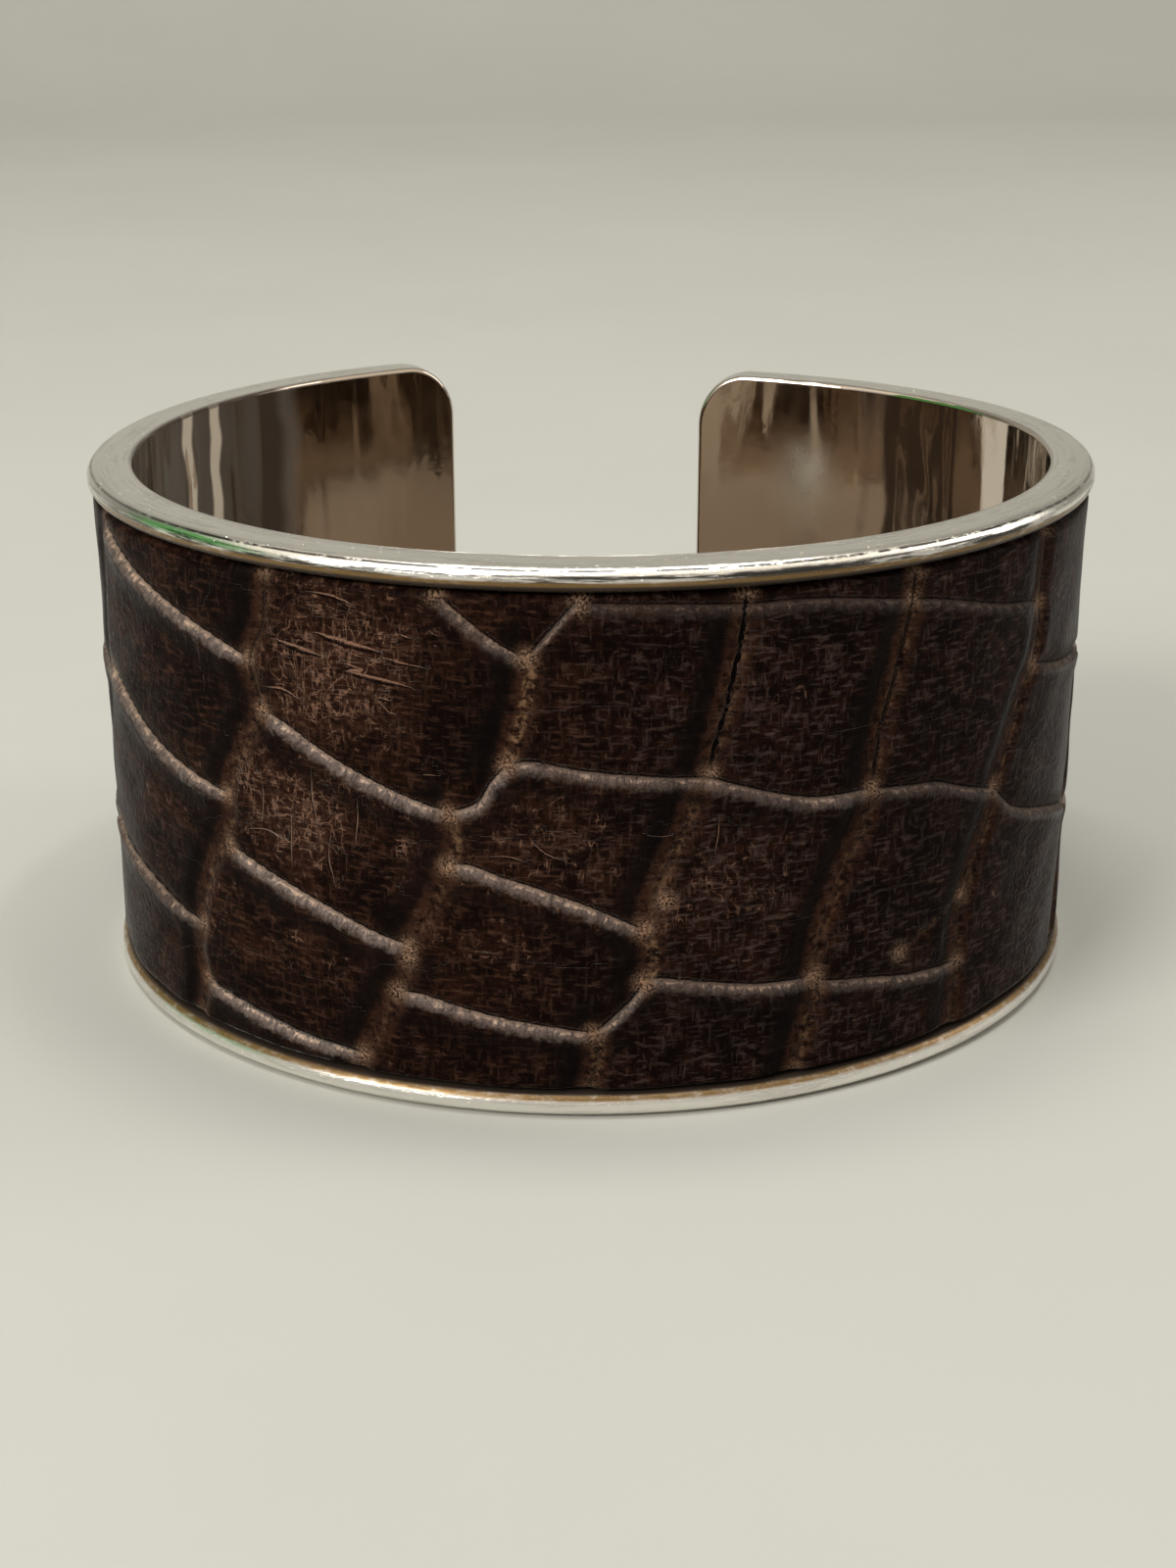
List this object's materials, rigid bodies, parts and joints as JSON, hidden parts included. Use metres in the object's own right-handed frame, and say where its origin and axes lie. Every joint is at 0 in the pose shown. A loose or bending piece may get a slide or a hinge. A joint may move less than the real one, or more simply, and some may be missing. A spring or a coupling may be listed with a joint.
{
  "type": "cuff bracelet",
  "caption": "Open cuff bracelet: polished metal channel band with a rounded rim all round and a strip of scale-embossed leather laid in its outside; the wrist goes in at the back gap.",
  "frame": {"origin": "middle of the cuff's outline, on the surface that its lower rim rests on", "axes": "+Z along the wrist, +X to the wearer's side as seen in the picture's right, +Y towards the gap at the back"},
  "size_m": [0.064, 0.0576, 0.0332],
  "materials": {
    "polished_steel": "polished, with fine wear scratches",
    "embossed_leather": "burnished, with worn lighter scale edges"
  },
  "bodies": {
    "root": {"steel_cuff": "polished_steel", "leather_inlay": "embossed_leather"}
  },
  "joints": []
}
